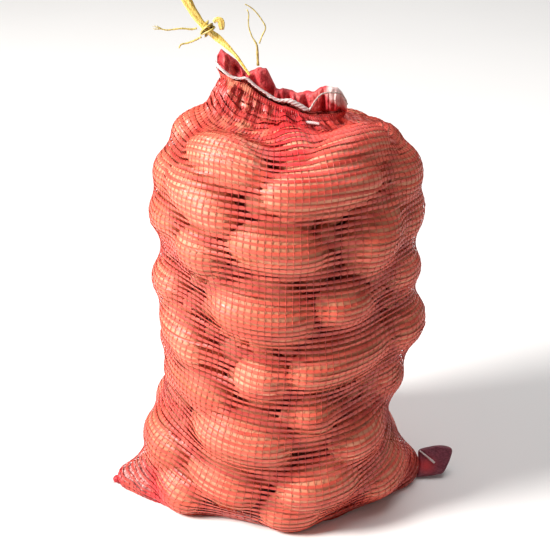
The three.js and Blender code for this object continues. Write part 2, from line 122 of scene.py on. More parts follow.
# potatoes against the net at the front: angle round the sack, height, length, thickness, tilt, stand-out
FRONT_POTATOES = [
    [-34, 405, 90, 50, -8, 0], [-49, 364, 98, 50, -18, 0], [-86, 366, 76, 50, 0, 0],
    [-82, 326, 92, 50, 10, 0], [18, 385, 122, 56, 4, 0], [41, 405, 108, 54, 8, 0], [80, 369, 84, 66, -12, 0],
    [47, 327, 84, 58, 62, 0], [84, 328, 80, 56, 20, 0], [78, 268, 76, 48, -15, 4], [81, 205, 86, 58, 0, 14],
    [-12, 254, 106, 68, -8, 0], [-5, 328, 96, 52, -9, 0], [30, 262, 60, 46, 0, 0], [31, 198, 118, 56, 12, 0],
    [15, 137, 52, 46, -35, 0], [-12, 180, 58, 50, 10, 0], [-52, 154, 98, 50, -16, 0],
    [-64, 206, 90, 42, -25, 0], [-84, 250, 80, 48, 8, 0], [-44, 313, 60, 44, -20, 0],
    [-20, 107, 108, 66, -9, 0], [-72, 65, 82, 60, -14, 5], [-31, 50, 86, 52, -20, -5], [19, 52, 90, 56, 6, 0],
    [-56, 26, 66, 50, -20, 14], [4, 22, 66, 44, 0, -3], [42, 98, 68, 48, 15, 0], [62, 36, 76, 50, 10, 0],
    [69, 150, 80, 56, -40, 0], [-76, 146, 60, 42, 0, -5], [-84, 180, 70, 42, 15, -2],
]
# potatoes on top: x, y, z, length, thickness, turn about Z
TOP_POTATOES = [
    [-72, 4, 409, 84, 48, 25], [8, -56, 408, 74, 48, -60], [48, 8, 396, 96, 52, 10],
    [-6, 46, 396, 88, 50, -15], [92, -4, 388, 80, 52, 70],
]
BACK_HEIGHTS = [30, 86, 142, 199, 256, 313, 367]
BACK_ANGLES = [118, 149, 180, 211, 240]
BACK_LENGTH, BACK_THICKNESS, BACK_INSET = 88, 54, 9
# potatoes in the middle, which only show through gaps
CORE_COUNT = 480
CORE_GRID = 6                   # spacing of the places tried for them
CORE_ROOM = 2.5                 # least room left between the others where one more goes
CORE_SMALLEST, CORE_LARGEST = 7, 29
CORE_TO_NET, CORE_TO_FRONT = 1.5, 20

# the weave
WARP_THREADS = 120
WEFT_TAPES = 94
CELL_STEPS = 4                  # points along a tape for each warp thread it passes
WEFT_WIDTH, WEFT_THICKNESS = 3.9, 0.5
NECK_WIDENING = 0.6             # how much wider the tapes lie where the neck is gathered
HEM_INSET = 6                   # how far inside the net's rim the hem is sewn on
NECK_REACH = 92                 # how far down from the mouth the net's inner folds are seen
WARP_WIDTH, WARP_THICKNESS = 1.0, 0.5
WARP_TURN = 75                  # degrees that a warp thread is turned between tapes
BAND_STEPS, STRAND_STEPS = 170, 60

# the camera stands in front of the sack, above it
VIEW_HEIGHT_ANGLE = 27
VIEW_DISTANCE = 1.5
VIEW_TARGET = (-0.0094, 0.0, 0.246)
PHOTO_SIZE = 550                # pixels
VIEW_FOCAL = 1425               # pixels


# ---- materials ----
class Finish:
    """Small helper round one material's nodes."""

    def __init__(self, name, **values):
        self.material = bpy.data.materials.new(name)
        self.material.use_nodes = True
        self.nodes = self.material.node_tree.nodes
        self.links = self.material.node_tree.links
        self.surface = self.nodes["Principled BSDF"]
        for socket, value in values.items():
            self.surface.inputs[socket.replace("_", " ")].default_value = value
        self.place = self.nodes.new("ShaderNodeTexCoord").outputs["Object"]

    def node(self, kind, inputs=(), **settings):
        made = self.nodes.new(kind)
        for key, value in settings.items():
            setattr(made, key, value)
        for key, value in dict(inputs).items():
            if isinstance(value, bpy.types.NodeSocket):
                self.links.new(value, made.inputs[key])
            else:
                made.inputs[key].default_value = value
        return made

    def noise(self, scale, detail=3, roughness=0.5, vector=None):
        made = self.node("ShaderNodeTexNoise", {"Scale": scale, "Detail": detail, "Roughness": roughness})
        self.links.new(vector or self.place, made.inputs["Vector"])
        return made.outputs["Fac"]

    def stretched(self, sizes):
        """Object coordinates scaled by sizes, for a pattern longer one way than another."""
        return self.node("ShaderNodeMapping", {"Vector": self.place, "Scale": sizes}).outputs["Vector"]

    def spread(self, value, low, high, to_low=0.0, to_high=1.0):
        """value from low..high carried to to_low..to_high, held at the ends."""
        made = self.node("ShaderNodeMapRange", {"Value": value, "From Min": low, "From Max": high,
                                                "To Min": to_low, "To Max": to_high})
        return made.outputs["Result"]

    def blend(self, share, first, second, mode="MIX"):
        made = self.node("ShaderNodeMix", data_type="RGBA", blend_type=mode)
        for key, value in (("Factor", share), ("A", first), ("B", second)):
            socket = [s for s in made.inputs if s.name == key and (key == "Factor" or s.type == "RGBA")][0]
            if isinstance(value, bpy.types.NodeSocket):
                self.links.new(value, socket)
            else:
                socket.default_value = value if key == "Factor" else (*value, 1.0)
        return [s for s in made.outputs if s.type == "RGBA"][0]

    def attribute(self, name):
        return self.node("ShaderNodeAttribute", attribute_name=name).outputs["Fac"]

    def patches(self):
        """Cloudy patches as strong as the attribute says."""
        cloud = self.spread(self.noise(75, 4, 0.6), 0.5, 0.62, 0.0, 0.6)
        return self.combine("MULTIPLY", cloud, self.attribute("patchy"))

    def combine(self, operation, first, second):
        return self.node("ShaderNodeMath", {0: first, 1: second}, operation=operation).outputs[0]

    def spots(self, scale):
        """How far each point is from the nearest of many scattered spots."""
        return self.node("ShaderNodeTexVoronoi", {"Vector": self.place, "Scale": scale}).outputs["Distance"]

    def colour(self, socket):
        self.links.new(socket, self.surface.inputs["Base Color"])

    def roughness(self, socket):
        self.links.new(socket, self.surface.inputs["Roughness"])

    def bump(self, height, distance, strength=1.0):
        made = self.node("ShaderNodeBump", {"Height": height, "Distance": distance, "Strength": strength})
        self.links.new(made.outputs["Normal"], self.surface.inputs["Normal"])


def net_finish(name, light, dark):
    """Red plastic tape, finely ribbed: its colour wanders from thread to thread and along each one. It
    carries painted shade over the gaps between potatoes, darker where no potato lies behind it, and it is
    deeper where the net is gathered in several layers.
    """
    finish = Finish(name, Specular_IOR_Level=0.5)
    wander = finish.noise(60, 2)
    tone = finish.blend(finish.attribute("tone"), dark, light)
    # painted shade: where no potato lies behind the tape its colour is darkened and reddened
    shaded = finish.blend(1.0, tone, (0.70, 0.46, 0.55), "MULTIPLY")
    tone = finish.blend(finish.attribute("over"), shaded, tone)
    faded = tuple(min(1.0, c * 1.25 + 0.025) for c in light)
    plain = finish.blend(finish.spread(wander, 0.45, 0.8, 0.0, 0.5), tone, faded)
    red = finish.blend(finish.attribute("deep"), plain, (0.64, 0.025, 0.03))
    finish.colour(finish.blend(finish.patches(), red, (0.84, 0.36, 0.20)))
    finish.roughness(finish.spread(finish.noise(400, 2), 0.3, 0.7, 0.3, 0.5))
    finish.bump(finish.noise(1800, 2), 0.0002, 0.5)
    return finish.material


def potato_finish():
    """Thin light brown skin, pushed towards salmon by painted red light from the net round it: broad tone
    changes, fine freckles, raised corky spots and a little dry soil.
    """
    finish = Finish("potato_skin", Roughness=0.55, Specular_IOR_Level=0.35)
    broad = finish.noise(28, 3)
    # partly painted light: the skin's colour is pushed towards salmon for the red light from the net
    tan_with_net_light = finish.blend(finish.spread(broad, 0.35, 0.65), (0.78, 0.30, 0.17), (0.92, 0.415, 0.26))
    own = finish.blend(finish.attribute("tone"), (0.72, 0.62, 0.55), (1.0, 1.0, 1.0))
    skin = finish.blend(1.0, tan_with_net_light, own, "MULTIPLY")
    freckle = finish.spots(260.0)
    freckled = finish.blend(finish.spread(freckle, 0.08, 0.22, 0.45, 0.0), skin, (0.36, 0.17, 0.09))
    soil = finish.spread(finish.noise(18, 6, 0.65), 0.58, 0.72, 0.0, 0.4)
    finish.colour(finish.blend(soil, freckled, (0.42, 0.26, 0.16)))
    eyes = finish.spots(42.0)
    relief = finish.combine("ADD", finish.spread(eyes, 0.0, 0.16, -1.0, 0.0), finish.noise(320, 4, 0.6))
    finish.bump(relief, 0.0008, 0.6)
    return finish.material


def string_finish():
    """White plaited cord: off-white with painted shade greying the hollows of the plait, and soiled towards
    its thin end.
    """
    finish = Finish("white_string", Roughness=0.8, Specular_IOR_Level=0.25)
    plait = finish.node("ShaderNodeTexWave", {"Vector": finish.place, "Scale": 420.0, "Distortion": 1.5},
                        bands_direction="DIAGONAL").outputs["Fac"]
    # painted shade: the plait's wave turns the white to pinkish grey in its hollows
    white = finish.blend(finish.spread(plait, 0.1, 0.6), (0.70, 0.52, 0.51), (0.95, 0.89, 0.87))
    finish.colour(finish.blend(finish.attribute("soil"), white, (0.52, 0.42, 0.38)))
    finish.bump(plait, 0.0005, 0.7)
    return finish.material


def raffia_finish(name, shade, light):
    """Split yellow plastic raffia: long fibres, some paler, with a silky shine."""
    finish = Finish(name, Roughness=0.36, Specular_IOR_Level=0.6)
    fibres = finish.noise(1.0, 4, 0.6, finish.stretched((700.0, 700.0, 260.0)))
    finish.colour(finish.blend(finish.spread(fibres, 0.38, 0.6), shade, light))
    finish.bump(fibres, 0.0006, 0.8)
    return finish.material


def fold_finish():
    """Maroon folded mesh, several layers thick, with the weave pressed through. Its maroon is partly the
    doubled mesh and partly painted shade, and a painted lit patch turns it red where the tone attribute says
    so.
    """
    finish = Finish("shaded_maroon_fold", Roughness=0.5, Specular_IOR_Level=0.4)
    weave = finish.noise(1.0, 3, 0.5, finish.stretched((420.0, 420.0, 900.0)))
    # partly painted shade: the doubled mesh darkened to maroon as on its shadow side
    shaded_maroon = finish.blend(finish.spread(weave, 0.3, 0.7), (0.11, 0.018, 0.034), (0.26, 0.055, 0.085))
    # painted light: red in a lit patch, where the fold's tone is high
    finish.colour(finish.blend(finish.attribute("tone"), shaded_maroon, (0.62, 0.05, 0.06)))
    finish.bump(weave, 0.0006, 0.8)
    return finish.material


def gathered_finish(name, deep, ridge, patch):
    """The same red mesh lying in several layers, with painted shade: deep in the folds and paler on the
    ridges as the tone attribute says, with patches of another colour where what is behind shows, and
    turned pale where the attribute says so.
    """
    finish = Finish(name, Specular_IOR_Level=0.5)
    mesh = finish.spots(430.0)
    # painted shade: the tone attribute runs from the deep colour in folds and creases to the paler ridge
    # colour
    tone = finish.blend(finish.attribute("tone"), deep, ridge)
    tone = finish.blend(finish.spread(mesh, 0.3, 0.65, 0.0, 0.6), tone, deep)
    patched = finish.blend(finish.patches(), tone, patch)
    pale = finish.blend(finish.noise(160, 3), (0.72, 0.36, 0.36), (0.90, 0.80, 0.74))
    finish.colour(finish.blend(finish.attribute("pale"), patched, pale))
    finish.roughness(finish.spread(mesh, 0.0, 0.5, 0.35, 0.6))
    finish.bump(mesh, 0.0005, 0.7)
    return finish.material


def floor_finish():
    finish = Finish("pale_floor", Roughness=0.9)
    cloud = finish.noise(3, 2)
    finish.colour(finish.blend(cloud, (0.90, 0.895, 0.89), (0.94, 0.935, 0.93)))
    return finish.material


# ---- meshes from arrays ----
def signed_volume(points, faces):
    corners = points[faces]
    total = 0.0
    for k in range(1, faces.shape[1] - 1):
        total += np.einsum("ij,ij->i", corners[:, 0], np.cross(corners[:, k], corners[:, k + 1])).sum()
    return total


def make_piece(name, points, face_sets, material, uv=None, tone=None, smooth=True):
    """Mesh object: points (n, 3) in metres, face_sets arrays of 3 or 4 point numbers a row.

    Closed shapes are turned so that their signed volume is positive. uv and tone have one row a point.
    """
    points = np.asarray(points, float)
    face_sets = [np.asarray(faces, np.int64) for faces in face_sets]
    if sum(signed_volume(points, faces) for faces in face_sets) < 0:
        face_sets = [faces[:, ::-1] for faces in face_sets]
    corners = np.concatenate([faces.ravel() for faces in face_sets])
    sides = np.concatenate([np.full(len(faces), faces.shape[1]) for faces in face_sets])
    mesh = bpy.data.meshes.new(name)
    mesh.vertices.add(len(points))
    mesh.vertices.foreach_set("co", points.ravel())
    mesh.loops.add(len(corners))
    mesh.loops.foreach_set("vertex_index", corners)
    mesh.polygons.add(len(sides))
    mesh.polygons.foreach_set("loop_start", np.concatenate([[0], np.cumsum(sides)[:-1]]))
    mesh.update(calc_edges=True)
    mesh.polygons.foreach_set("use_smooth", np.full(len(sides), smooth))
    if uv is not None:
        layer = mesh.uv_layers.new(name="OFBake")
        layer.data.foreach_set("uv", np.asarray(uv, float)[corners].ravel())
    mesh.materials.append(material)
    piece = bpy.data.objects.new(name, mesh)
    if tone is not None:
        mark(piece, "tone", tone)
    bpy.context.scene.collection.objects.link(piece)
    return piece


def strip_faces(rows, columns, close_rows=False, close_columns=False):
    """Quads of a grid of rows x columns points numbered row by row, joined end to end where closed."""
    row = np.arange(rows if close_rows else rows - 1)[:, None]
    column = np.arange(columns if close_columns else columns - 1)[None, :]
    next_row, next_column = (row + 1) % rows, (column + 1) % columns
    quads = [row * columns + column, row * columns + next_column,
             next_row * columns + next_column, next_row * columns + column]
    return np.stack([np.broadcast_to(q, (row.shape[0], column.shape[1])) for q in quads], -1).reshape(-1, 4)


def tube_faces(steps, sides):
    """Faces of steps rings of sides points, closed at each end by a fan to one of two points after them."""
    first, last = np.arange(sides), (steps - 1) * sides + np.arange(sides)
    caps = np.concatenate([np.stack([np.full(sides, steps * sides), np.roll(first, -1), first], -1),
                           np.stack([np.full(sides, steps * sides + 1), last, np.roll(last, -1)], -1)])
    return [strip_faces(steps, sides, close_columns=True), caps]


def mark(piece, name, values):
    """Gives the piece a named value a point, which its material reads."""
    layer = piece.data.attributes.new(name, "FLOAT", "POINT")
    layer.data.foreach_set("value", np.asarray(values, float).ravel())


def finish_piece(piece, slot, *nodes):
    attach(piece, "root")
    if nodes:
        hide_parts(*nodes)
    return piece


def unit(vectors):
    return vectors / np.maximum(np.linalg.norm(vectors, axis=-1, keepdims=True), 1e-12)


def smooth_step(value, low, high):
    share = np.clip((value - low) / (high - low), 0, 1)
    return share * share * (3 - 2 * share)


def look_up(table, key):
    return np.interp(key, table[:, 0], table[:, 1])


# ---- potatoes ----
def chance(n):
    """Repeatable number from 0 to 1 for n: the fraction of 43758.5453 sin(12.9898 n + 4.1414)."""
    return np.modf(np.abs(np.floor(s := np.sin(n * 12.9898 + 4.1414) * 43758.5453) - s))[0]


def on_outline(angle, height, inset):
    half = look_up(OUTLINE, height)
    return np.array([look_up(LEAN, height) + (half - inset) * np.sin(angle * RAD),
                     -(half * DEPTH_TO_WIDTH - inset) * np.cos(angle * RAD), height])


def wall_potato(angle, height, length, thickness, tilt, stand_out):
    """Centre, axes and half sizes of a potato lying along the wall."""
    depth = thickness * POTATO_FLATNESS
    outward = np.array([math.sin(angle * RAD), -math.cos(angle * RAD), 0])
    along = np.cross([0, 0, 1], outward)
    axis = along * math.cos(tilt * RAD) + np.array([0, 0, 1]) * math.sin(tilt * RAD)
    return (on_outline(angle, height, depth / 2 - stand_out), [axis, outward, np.cross(axis, outward)],
            [length / 2, depth / 2, thickness / 2])


def top_potato(x, y, z, length, thickness, turn):
    axis = np.array([math.cos(turn * RAD), math.sin(turn * RAD), 0])
    return (np.array([x, y, z]), [axis, np.cross([0, 0, 1], axis), [0, 0, 1]],
            [length / 2, thickness / 2, thickness / 2])


def back_potato(row, k):
    n = row * len(BACK_ANGLES) + k
    shift = 0 if row % 2 == 0 else 14
    return wall_potato(BACK_ANGLES[k] + shift + 12 * (chance(n) - 0.5),
                       BACK_HEIGHTS[row] + 22 * (chance(n + 100) - 0.5),
                       BACK_LENGTH * (0.85 + 0.35 * chance(n + 200)),
                       BACK_THICKNESS * (0.85 + 0.3 * chance(n + 300)),
                       50 * (chance(n + 400) - 0.5), -BACK_INSET)


seen_potatoes = ([wall_potato(*p) for p in FRONT_POTATOES] + [top_potato(*p) for p in TOP_POTATOES]
                 + [back_potato(row, k) for row in range(len(BACK_HEIGHTS)) for k in range(len(BACK_ANGLES))])
bunches = [(np.array(centre, float), np.eye(3), half) for centre, half in BUNCHES]


def make_lumps(name, solids, rings, spokes, material, creases=0.0):
    """Potatoes, or bunches of net, as one mesh. A point at share s of the way from stem end to bud end,
    turned by t, is centre + cos(pi s) L a1 + sin(pi s) (cos t W a2 + sin t H a3), shrunk a little by low
    waves. Bunches of net also have sharp creases.
    """
    centres = np.array([s[0] for s in solids])
    axes = np.array([s[1] for s in solids])
    half = np.array([s[2] for s in solids])
    count = len(solids)
    along = np.pi * (np.arange(1, rings + 1) / (rings + 1))
    turn = 2 * np.pi * np.arange(spokes) / spokes
    ring = np.stack([np.broadcast_to(np.cos(along)[:, None], (rings, spokes)),
                     np.sin(along)[:, None] * np.cos(turn), np.sin(along)[:, None] * np.sin(turn)], -1)
    ways = np.concatenate([[[1.0, 0, 0]], ring.reshape(-1, 3), [[-1.0, 0, 0]]])
    waves = rng.normal(0, 1.0, (count, 7, 3)) * np.array([1.0, 1.4, 1.4]) * np.linspace(0.9, 3.4, 7)[:, None]
    phase = rng.uniform(0, 2 * np.pi, (count, 7))
    height = np.cos(np.einsum("pd,nwd->npw", ways, waves) + phase[:, None, :])
    lumps = (height * np.array([1.0, 0.8, 0.6, 0.45, 0.3, 0.22, 0.16])).sum(-1)
    sharp = np.abs(np.sin(3.1 * height[..., 4] + 2.3 * height[..., 5] + 4 * height[..., 6]))
    shrink = 0.985 - 0.013 * lumps - creases * sharp
    blunt = ways * (1 + 0.05 * np.sin(2 * np.arccos(np.clip(ways[:, :1], -1, 1))) ** 2)
    bend = rng.uniform(-0.07, 0.07, (count, 1)) * (ways[:, 0] ** 2 - 0.4)
    local = blunt[None] * shrink[..., None]
    local[..., 2] += bend
    local /= np.maximum(np.linalg.norm(local, axis=-1, keepdims=True), 1)
    points = centres[:, None] + np.einsum("npk,nkd->npd", local * half[:, None], axes)
    points[..., 2] = np.maximum(points[..., 2], LUMPS_LOWEST)
    each = ways.shape[0]
    first = 1 + np.arange(spokes)
    last = 1 + (rings - 1) * spokes + np.arange(spokes)
    caps = np.concatenate([np.stack([np.zeros(spokes, int), first, np.roll(first, -1)], -1),
                           np.stack([np.full(spokes, each - 1), np.roll(last, -1), last], -1)])
    walls = 1 + strip_faces(rings, spokes, close_columns=True)
    starts = each * np.arange(count)[:, None, None]
    tiles = math.ceil(math.sqrt(count))
    tile = np.stack([np.arange(count) % tiles, np.arange(count) // tiles], -1)
    flat = np.stack([0.5 + 0.46 * ways[:, 0], 0.5 + 0.46 * np.abs(ways[:, 1]) * np.sign(ways[:, 2])], -1)
    uv = (tile[:, None] + flat[None]) / tiles
    # bunches of net get painted shade: a tone that is darker along their sharp creases; potatoes get a random
    # tone
    tone = rng.uniform(0, 1, (count, 1)) if creases == 0 else 1 - sharp
    return make_piece(name, points.reshape(-1, 3) * MM,
                      [(walls + starts).reshape(-1, 4), (caps + starts).reshape(-1, 3)],
                      material, uv.reshape(-1, 2), np.broadcast_to(tone, (count, each)))


def make_bunches(material):
    """The crumpled net in the ears and at the neck, beige where the left ear is thin."""
    piece = make_lumps("net_bunches", bunches, 60, 90, material, 0.10)
    places = np.empty(3 * len(piece.data.vertices))
    piece.data.vertices.foreach_get("co", places)
    x = places[::3] / MM
    mark(piece, "pale", 0.55 * smooth_step(-x, 140, 150))
    finish_piece(piece, "net", "net_bag")


# ---- the net's surface ----
def across(column):
    share = 2 * column / GIRTH_COLUMNS
    return np.where(share <= 1, share, 2 - share)


def face_sign(column):
    return np.where(2 * column < GIRTH_COLUMNS, -1.0, 1.0)


def ear_share(column):
    return 1 - smooth_step(np.minimum(across(column), 1 - across(column)), 0, EAR_SHARE)


def seam_points(column):
    share = across(column)[..., None]
    points = EAR_LEFT + (EAR_RIGHT - EAR_LEFT) * share
    points[..., 1] += face_sign(column) * SEAM_THICKNESS * np.sqrt(np.sin(np.pi * share[..., 0]).clip(0)) / 2
    return points


def mouth_points(column):
    share = across(column)
    x = MOUTH_LINE[0, 0] + (MOUTH_LINE[-1, 0] - MOUTH_LINE[0, 0]) * share
    depth = MOUTH_HALF_DEPTH * np.sqrt(np.sin(np.pi * share).clip(0))
    return np.stack([x, face_sign(column) * depth, look_up(MOUTH_LINE, x) - MOUTH_LOWERED], -1)


def wall_ring(angle, height):
    return np.moveaxis(on_outline(angle, height, -SLACK), 0, -1)


def slack_net():
    """The net before it settles: seam to wall, up the wall, and in to the mouth, in straight lines."""
    row = np.arange(NET_ROWS + 1.0)[:, None]
    column = np.arange(float(GIRTH_COLUMNS))[None, :]
    angle = -90 + 360 * column / GIRTH_COLUMNS
    foot = FOOT_HEIGHT + (EAR_HEIGHT - FOOT_HEIGHT) * ear_share(column)
    up = foot + (WALL_TOP - foot) * np.clip((row - BOTTOM_ROWS) / WALL_ROWS, 0, 1)
    net = wall_ring(np.broadcast_to(angle, up.shape), up)
    low = np.clip(row / BOTTOM_ROWS, 0, 1)[..., None]
    high = np.clip((row - BOTTOM_ROWS - WALL_ROWS) / TOP_ROWS, 0, 1)[..., None]
    net = seam_points(column) * (1 - low) + net * low
    return net * (1 - high) + mouth_points(column) * high


def ways_out(row, column, net):
    """Unit vectors out of the sack: down under it, outwards round the wall, up on top and on the ears."""
    low = (smooth_step(row, BOTTOM_ROWS - 1, BOTTOM_ROWS + 2) - 1) * (1 - 1.5 * ear_share(column))
    high = smooth_step(row, BOTTOM_ROWS + WALL_ROWS - 5, BOTTOM_ROWS + WALL_ROWS + 2)
    lift = (low + high) * 90 * RAD
    outward = net * [1, 1, 0]
    ways = unit(outward) * np.cos(lift)[..., None]
    ways[..., 2] += np.sin(lift)
    return ways


def push_out(points, ways):
    """Moves each point that is inside a potato along its way to the skin, by the larger root of
    |(p + t w - c) / h| = 1 in the potato's own axes.
    """
    flat, way = points.reshape(-1, 3), ways.reshape(-1, 3)
    for centre, axes, half in seen_potatoes + bunches:
        reach = np.array(half) + NET_CLEARANCE
        near = np.flatnonzero((np.abs(flat - centre) <= reach.max()).all(-1))
        scale = np.array(axes).T / reach
        start = (flat[near] - centre) @ scale
        inside = (start ** 2).sum(-1) < 1
        near, start = near[inside], start[inside]
        step = way[near] @ scale
        a, b, c = (step ** 2).sum(-1), (step * start).sum(-1), (start ** 2).sum(-1) - 1
        flat[near] += way[near] * ((-b + np.sqrt(b * b - a * c)) / a)[:, None]
    return flat.reshape(points.shape)


def keep_out_of_core(row, net):
    half = look_up(OUTLINE, net[..., 2]) * CORE_SHARE
    middle = look_up(LEAN, net[..., 2])
    reach = np.hypot((net[..., 0] - middle) / half, net[..., 1] / (half * DEPTH_TO_WIDTH))
    wall = (row > BOTTOM_ROWS) & (row < BOTTOM_ROWS + WALL_ROWS)
    grow = np.where(wall & (reach < 1), 1 / np.maximum(reach, 1e-6), 1.0)
    net[..., 0] = middle + (net[..., 0] - middle) * grow
    net[..., 1] *= grow
    net[..., 2] = np.maximum(net[..., 2], 0)


def settle(net, steps, fine, sink):
    """Draws the net tight: every knot moves towards the middle of its four neighbours and sinks a little,
    then it is pushed out of the potatoes and off the ground. fine is how much finer it is than the solid.
    """
    row = np.broadcast_to(np.arange(net.shape[0])[:, None] / fine, net.shape[:2])
    column = np.broadcast_to(np.arange(net.shape[1])[None, :] / fine, net.shape[:2])
    for _ in range(steps):
        moved = net * (1 - 2 * HOOP_PULL - 2 * LENGTH_PULL)
        moved += HOOP_PULL * (np.roll(net, 1, 1) + np.roll(net, -1, 1))
        moved[1:-1] += LENGTH_PULL * (net[:-2] + net[2:])
        ways = ways_out(row, column, moved)
        moved -= ways * sink / fine ** 2
        moved[..., 2] += PRESS / fine ** 2 * np.minimum(ways[..., 2], 0)
        moved = push_out(moved, ways)
        keep_out_of_core(row, moved)
        net = np.concatenate([net[:1], moved[1:-1], net[-1:]])
    return net


def finer(net):
    """The same surface with FINE times as many rows and columns, by straight lines between knots."""
    row = np.arange(FINE * (net.shape[0] - 1) + 1) / FINE
    low = np.minimum(row.astype(int), net.shape[0] - 2)
    share = (row - low)[:, None, None]
    net = net[low] * (1 - share) + net[low + 1] * share
    column = np.arange(FINE * net.shape[1]) / FINE
    low = column.astype(int)
    share = (column - low)[None, :, None]
    return net[:, low] * (1 - share) + net[:, (low + 1) % net.shape[1]] * share


def even_rows(net, rows, columns):
    """Net points at even steps along the columns, whose spacing is evened out with their neighbours'."""
    steps = np.linalg.norm(np.diff(net, axis=0), axis=-1)
    run = np.concatenate([np.zeros((1, net.shape[1])), np.cumsum(steps, 0)])
    share = run / run[-1]
    bell = np.exp(-0.5 * (np.arange(-3 * EVENING, 3 * EVENING + 1) / EVENING) ** 2)
    wrapped = np.take(share, np.arange(-3 * EVENING, net.shape[1] + 3 * EVENING), axis=1, mode="wrap")
    share = np.array([np.convolve(line, bell / bell.sum(), "valid") for line in wrapped])
    wanted = np.linspace(0, 1, rows)
    place = np.arange(columns) * net.shape[1] / columns
    low = place.astype(int)
    between = (place - low)[None, :, None]
    sampled = [[np.interp(wanted, share[:, c], net[:, c, k]) for k in range(3)] for c in range(net.shape[1])]
    sampled = np.moveaxis(np.array(sampled), 2, 0)
    return sampled[:, low] * (1 - between) + sampled[:, (low + 1) % net.shape[1]] * between


def depth_in_net(places, net):
    """How far inside the net each place is, measured straight in from the nearest of the solid's knots."""
    knots = net[::FINE, ::FINE].reshape(-1, 3)
    outward = surface_frame(net)[2][::FINE, ::FINE].reshape(-1, 3)
    nearest = [np.argmin((knots ** 2).sum(-1) - 2 * part @ knots.T, 1) for part in np.array_split(places, 40)]
    nearest = np.concatenate(nearest)
    return ((knots[nearest] - places) * outward[nearest]).sum(-1)


def outside(solid, places):
    """How far outside a potato's skin each place is, measured towards its centre."""
    centre, axes, half = solid
    away = np.linalg.norm(places - centre, axis=-1)
    reach = np.linalg.norm((places - centre) @ (np.array(axes).T / half), axis=-1)
    return away * (1 - 1 / np.maximum(reach, 1e-3))


def fill_core(potatoes, net):
    """Fills the middle: the place with the most room, the sides first, gets the next potato, turned at
    random and as large as it fits inside the net, pressed a little into its neighbours, until CORE_COUNT
    are in. Many come out smaller than any potato in such a sack, only to close the gaps between others.
    """
    x, y, z = np.meshgrid(np.arange(-158, 159, CORE_GRID), np.arange(-128, 129, CORE_GRID),
                          np.arange(16, 410, CORE_GRID), indexing="ij")
    places = np.stack([x, y, z], -1).reshape(-1, 3).astype(float)
    to_net = depth_in_net(places, net) - CORE_TO_NET - CORE_TO_FRONT * smooth_step(-places[:, 1], 20, 85)
    places, to_net = places[to_net > CORE_SMALLEST], to_net[to_net > CORE_SMALLEST]

    room = np.min([outside(solid, places) for solid in potatoes], axis=0)
    places, to_net, room = places[room > CORE_ROOM], to_net[room > CORE_ROOM], room[room > CORE_ROOM]
    wanted = 1 + 3 * smooth_step(np.abs(places[:, 0]), 95, 120)
    added = []
    while len(added) < CORE_COUNT and room.max() > CORE_ROOM:
        best = np.argmax(room * wanted)
        size = np.clip(1.4 * room[best], CORE_SMALLEST, min(CORE_LARGEST, to_net[best]))
        axis = unit(rng.normal(0, 1, 3))
        side = unit(np.cross([0.1, 0.2, 1], axis))
        added.append((places[best], [axis, side, np.cross(axis, side)], [size, size * 0.92, size * 0.96]))
        room = np.minimum(room, outside(added[-1], places))
    return added


def gathered(surface, normals):
    """Folds that run down from the mouth, and crumples between them. s mm below the mouth a fold stands out
    by GATHER_DEPTH exp(-(s / GATHER_REACH)^2) times two waves round the mouth, faded out at the hem itself.
    """
    rows, columns = surface.shape[:2]
    from_mouth = np.linspace(1, 0, rows)[:, None] * NET_HEIGHT
    share = across(np.arange(columns) * GIRTH_COLUMNS / columns)[None, :]
    side = face_sign(np.arange(columns) * GIRTH_COLUMNS / columns)[None, :]
    wander = 0.5 * np.sin(from_mouth / 19 + 9 * share) + 2.2 * side
    folds = np.cos(2 * np.pi * 8.5 * share + wander) + 0.6 * np.cos(2 * np.pi * 17 * share + 2 * wander + 1.3)
    crumples = crumple(share * 13 + side, from_mouth / 30, 14, 0.5, 2.4)
    fade = np.exp(-(from_mouth / GATHER_REACH) ** 2) * smooth_step(from_mouth, 0, 12)
    return surface + normals * (fade * (GATHER_DEPTH * folds + CRUMPLE_DEPTH * crumples))[..., None]


def surface_frame(surface):
    """Unit vectors round the sack, along it and out of it, at every point of the surface."""
    around = unit(np.roll(surface, -1, 1) - np.roll(surface, 1, 1))
    along = unit(np.gradient(surface, axis=0))
    outward = unit(np.cross(around, along))
    return around, along, outward


def settled_net():
    net = settle(slack_net(), SETTLE_STEPS, 1, SINK)
    return settle(finer(net), FINE_STEPS, FINE, FINE_SINK)


def weave_surface(net):
    surface = even_rows(net, 2 * WEFT_TAPES + 1, CELL_STEPS * WARP_THREADS)
    surface = gathered(surface, surface_frame(surface)[2])
    surface[..., 2] = np.maximum(surface[..., 2], NET_LOWEST)
    return surface


def depth_of_red(points):
    """How deep the red is: 1 in the folds before the left ear and at its tip, 0.8 in the dip below the
    mouth's middle, 0.4 round the mouth, and 0 elsewhere.
    """
    x, y, z = np.moveaxis(points, -1, 0)
    ear = np.exp(-((x + 137) / 14) ** 2) * smooth_step(-z, -58, -34)
    tip = np.exp(-((x + 184) / 7) ** 2) * smooth_step(-z, -30, -14)
    from_mouth = look_up(MOUTH_LINE, x) - z + 30 * smooth_step(np.abs(x + 3), 55, 90)
    dip = np.exp(-((x - 4) / 19) ** 2) * smooth_step(z, 388, 418) * (y < 0)
    return np.clip(ear + tip + 0.4 * smooth_step(-from_mouth, -62, -18) + 0.8 * dip, 0, 1)


def over_potato(points):
    """1 where a potato lies right behind the net, falling to 0 where the nearest is 9 mm off."""
    flat = points.reshape(-1, 3)
    off = np.min([outside(solid, flat) for solid in seen_potatoes], axis=0)
    return 1 - smooth_step(off, 2.5, 9).reshape(points.shape[:-1])


